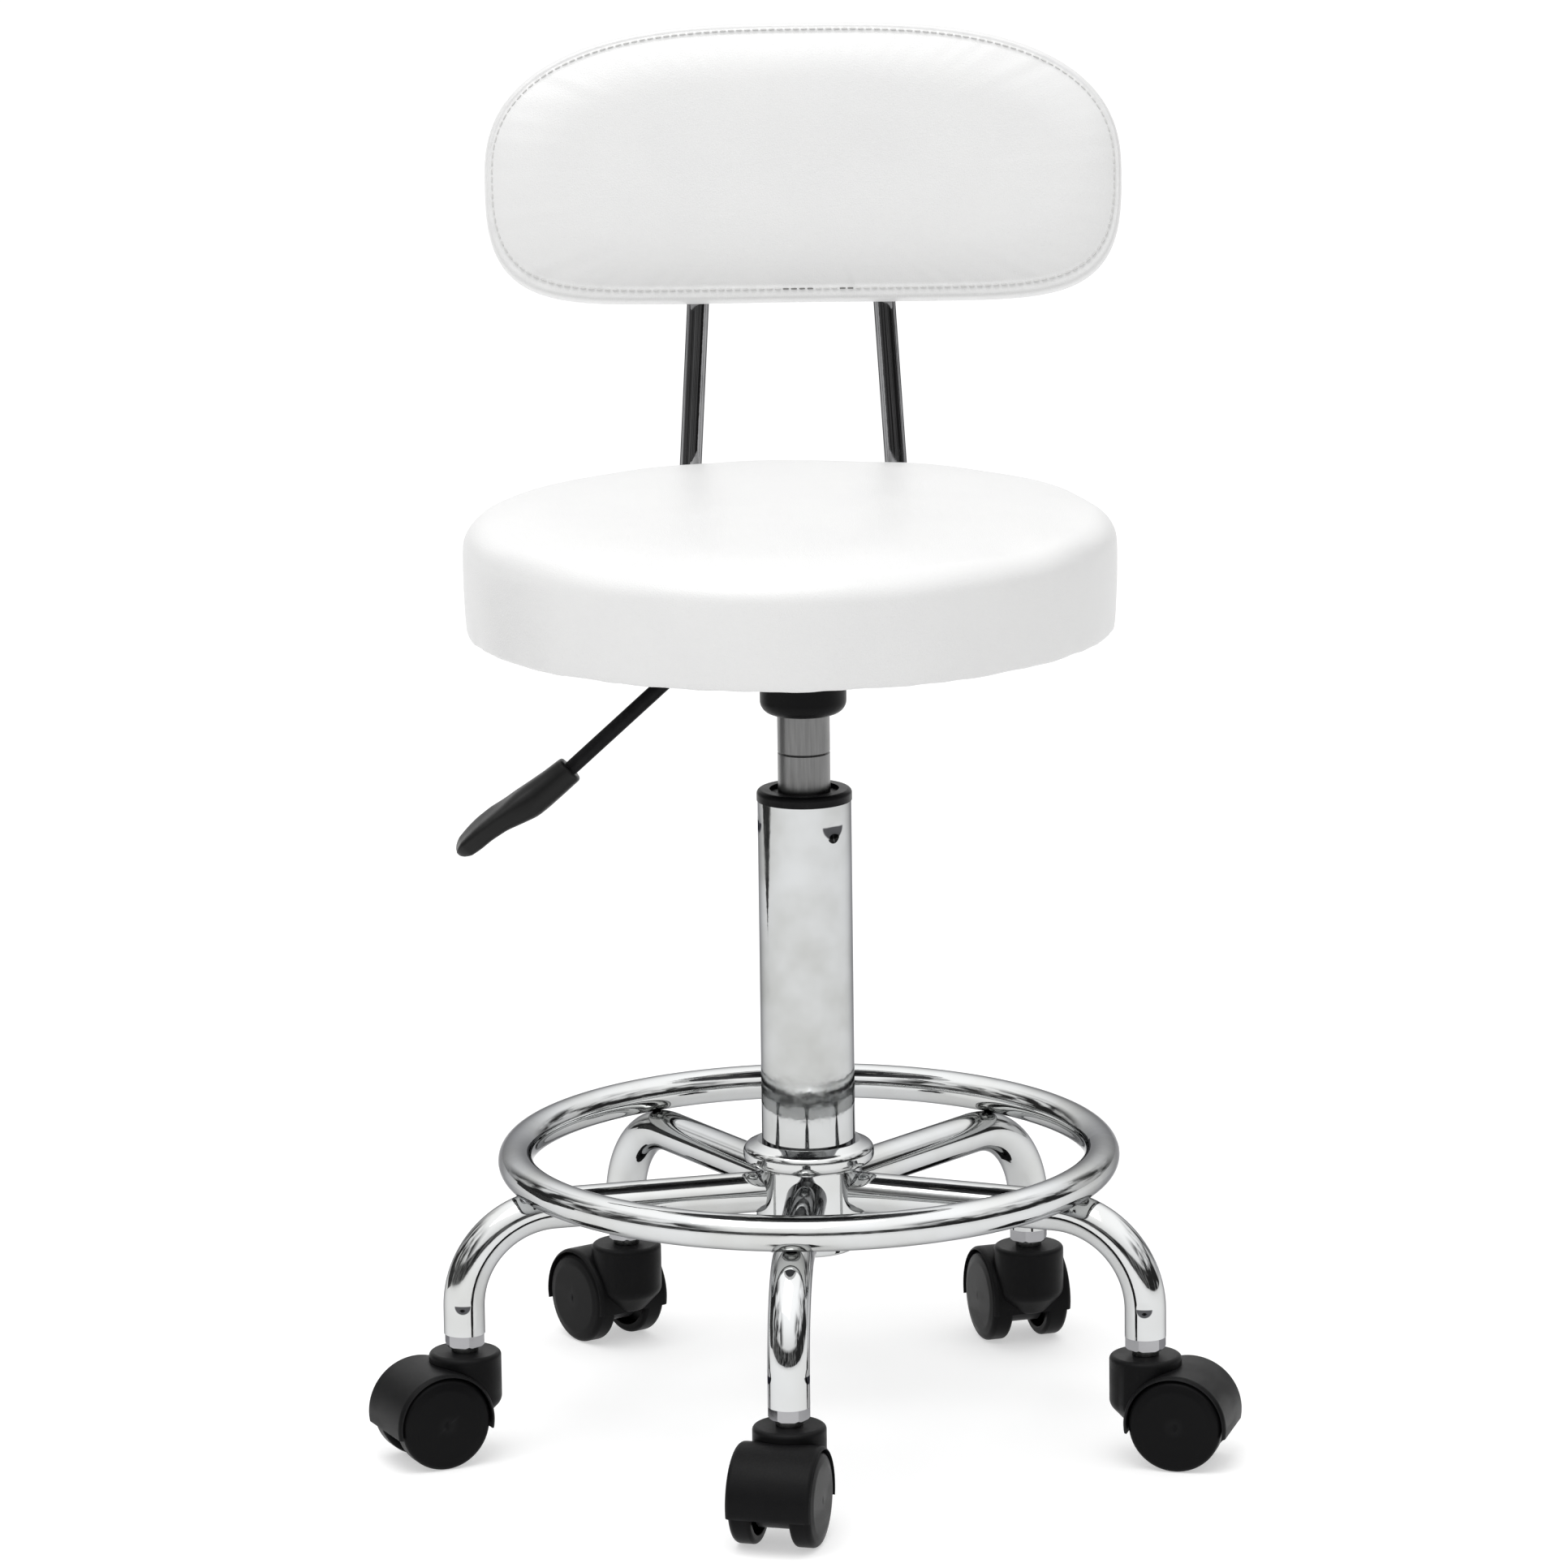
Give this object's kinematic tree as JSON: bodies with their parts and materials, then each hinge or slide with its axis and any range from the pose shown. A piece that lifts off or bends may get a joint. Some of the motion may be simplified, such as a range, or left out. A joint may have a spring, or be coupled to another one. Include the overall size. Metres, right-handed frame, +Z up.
{
  "type": "pedicure stool",
  "caption": "Low round salon stool with a padded backrest, gas-lift height lever, chrome bent-tube base with foot ring and twin-wheel swivel casters.",
  "frame": {"origin": "on the floor, under the column axis", "axes": "+Z up along the column; the sitter faces -Y, the backrest is on the +Y side and the height lever on the -X side"},
  "size_m": [0.465, 0.462, 0.7349],
  "materials": {
    "chrome": "mirror plated",
    "lift_steel": "ground satin",
    "bearing_steel": "ground",
    "zinc_fasteners": "zinc plated",
    "black_steel": "satin black",
    "black_nylon": "satin moulded",
    "wheel_nylon": "satin moulded",
    "white_vinyl": "smooth satin",
    "foam": "open-cell",
    "plywood": "raw",
    "dust_cloth": "non-woven",
    "black_rubber": "matt"
  },
  "bodies": {
    "base": {"base_hub": "chrome", "leg_front": "chrome", "leg_front_right": "chrome", "leg_rear_right": "chrome", "leg_rear_left": "chrome", "leg_front_left": "chrome", "leg_sockets": "chrome", "foot_ring": "chrome", "caster_stems": "bearing_steel", "column_tube": "chrome", "column_bush": "black_nylon", "thrust_bearing": "bearing_steel"},
    "lift_rod": {"piston_rod": "lift_steel", "piston": "lift_steel", "bump_stop": "black_rubber", "rod_clip": "bearing_steel", "bearing_washer": "bearing_steel"},
    "seat": {"gas_cylinder": "lift_steel", "rod_guide": "black_nylon", "stem_socket": "black_steel", "socket_cup": "black_nylon", "seat_plate": "black_steel", "seat_bolts": "zinc_fasteners", "seat_t_nuts": "zinc_fasteners", "seat_board": "plywood", "seat_foam": "foam", "seat_cover": "white_vinyl", "seat_dust_cover": "dust_cloth", "back_rod_left": "chrome", "back_rod_right": "chrome", "back_rod_bolts": "zinc_fasteners", "back_bolts": "zinc_fasteners", "back_t_nuts": "zinc_fasteners", "back_board": "plywood", "back_foam": "foam", "back_cover": "white_vinyl", "lever_pivot_pin": "zinc_fasteners"},
    "valve": {"valve_pin": "bearing_steel"},
    "lever": {"lever_rod": "black_steel", "lever_grip": "black_nylon"},
    "caster_front": {"caster_front_hood": "black_nylon", "caster_front_axle": "bearing_steel"},
    "caster_front_wheel_left": {"caster_front_wheel_left": "wheel_nylon"},
    "caster_front_wheel_right": {"caster_front_wheel_right": "wheel_nylon"},
    "caster_front_right": {"caster_front_right_hood": "black_nylon", "caster_front_right_axle": "bearing_steel"},
    "caster_front_right_wheel_left": {"caster_front_right_wheel_left": "wheel_nylon"},
    "caster_front_right_wheel_right": {"caster_front_right_wheel_right": "wheel_nylon"},
    "caster_rear_right": {"caster_rear_right_hood": "black_nylon", "caster_rear_right_axle": "bearing_steel"},
    "caster_rear_right_wheel_left": {"caster_rear_right_wheel_left": "wheel_nylon"},
    "caster_rear_right_wheel_right": {"caster_rear_right_wheel_right": "wheel_nylon"},
    "caster_rear_left": {"caster_rear_left_hood": "black_nylon", "caster_rear_left_axle": "bearing_steel"},
    "caster_rear_left_wheel_left": {"caster_rear_left_wheel_left": "wheel_nylon"},
    "caster_rear_left_wheel_right": {"caster_rear_left_wheel_right": "wheel_nylon"},
    "caster_front_left": {"caster_front_left_hood": "black_nylon", "caster_front_left_axle": "bearing_steel"},
    "caster_front_left_wheel_left": {"caster_front_left_wheel_left": "wheel_nylon"},
    "caster_front_left_wheel_right": {"caster_front_left_wheel_right": "wheel_nylon"}
  },
  "joints": [
    {"name": "seat_swivel", "type": "hinge", "parent": "base", "child": "lift_rod", "pos_m": [0, 0, 0.11], "axis": [0, 0, 1], "continuous": true},
    {"name": "height_slide", "type": "slide", "parent": "lift_rod", "child": "seat", "axis": [0, 0, 1], "range_m": [0, 0.12]},
    {"name": "lever_pivot", "type": "hinge", "parent": "seat", "child": "lever", "pos_m": [-0.032, 0, 0.425], "axis": [0, 1, 0], "range_deg": [0, 6], "stiffness_Nm_per_rad": 1.5, "springref_deg": -6.88},
    {"name": "valve_press", "type": "slide", "parent": "seat", "child": "valve", "axis": [0, 0, -1], "range_m": [0, 0.0045]},
    {"name": "front_caster_swivel", "type": "hinge", "parent": "base", "child": "caster_front", "pos_m": [-0.01229, -0.1901, 0.058], "axis": [0, 0, 1], "continuous": true},
    {"name": "front_left_wheel_spin", "type": "hinge", "parent": "caster_front", "child": "caster_front_wheel_left", "pos_m": [-0.01747, -0.20942, 0.025], "axis": [0.9659, -0.2588, 0], "continuous": true},
    {"name": "front_right_wheel_spin", "type": "hinge", "parent": "caster_front", "child": "caster_front_wheel_right", "pos_m": [-0.01747, -0.20942, 0.025], "axis": [0.9659, -0.2588, 0], "continuous": true},
    {"name": "front_right_caster_swivel", "type": "hinge", "parent": "base", "child": "caster_front_right", "pos_m": [0.177, -0.07044, 0.058], "axis": [0, 0, 1], "continuous": true},
    {"name": "front_right_left_wheel_spin", "type": "hinge", "parent": "caster_front_right", "child": "caster_front_right_wheel_left", "pos_m": [0.19632, -0.07561, 0.025], "axis": [0.2588, 0.9659, 0], "continuous": true},
    {"name": "front_right_right_wheel_spin", "type": "hinge", "parent": "caster_front_right", "child": "caster_front_right_wheel_right", "pos_m": [0.19632, -0.07561, 0.025], "axis": [0.2588, 0.9659, 0], "continuous": true},
    {"name": "rear_right_caster_swivel", "type": "hinge", "parent": "base", "child": "caster_rear_right", "pos_m": [0.12169, 0.14657, 0.058], "axis": [0, 0, 1], "continuous": true},
    {"name": "rear_right_left_wheel_spin", "type": "hinge", "parent": "caster_rear_right", "child": "caster_rear_right_wheel_left", "pos_m": [0.1155, 0.16559, 0.025], "axis": [-0.9511, -0.309, 0], "continuous": true},
    {"name": "rear_right_right_wheel_spin", "type": "hinge", "parent": "caster_rear_right", "child": "caster_rear_right_wheel_right", "pos_m": [0.1155, 0.16559, 0.025], "axis": [-0.9511, -0.309, 0], "continuous": true},
    {"name": "rear_left_caster_swivel", "type": "hinge", "parent": "base", "child": "caster_rear_left", "pos_m": [-0.10179, 0.16102, 0.058], "axis": [0, 0, 1], "continuous": true},
    {"name": "rear_left_left_wheel_spin", "type": "hinge", "parent": "caster_rear_left", "child": "caster_rear_left_wheel_left", "pos_m": [-0.11321, 0.17744, 0.025], "axis": [-0.8211, -0.5707, 0], "continuous": true},
    {"name": "rear_left_right_wheel_spin", "type": "hinge", "parent": "caster_rear_left", "child": "caster_rear_left_wheel_right", "pos_m": [-0.11321, 0.17744, 0.025], "axis": [-0.8211, -0.5707, 0], "continuous": true},
    {"name": "front_left_caster_swivel", "type": "hinge", "parent": "base", "child": "caster_front_left", "pos_m": [-0.1846, -0.04705, 0.058], "axis": [0, 0, 1], "continuous": true},
    {"name": "front_left_left_wheel_spin", "type": "hinge", "parent": "caster_front_left", "child": "caster_front_left_wheel_left", "pos_m": [-0.20272, -0.05551, 0.025], "axis": [0.4226, -0.9063, 0], "continuous": true},
    {"name": "front_left_right_wheel_spin", "type": "hinge", "parent": "caster_front_left", "child": "caster_front_left_wheel_right", "pos_m": [-0.20272, -0.05551, 0.025], "axis": [0.4226, -0.9063, 0], "continuous": true}
  ],
  "couplings": [
    {"joint": "valve_press", "follows": "lever_pivot", "m_per_rad": 0.034}
  ]
}
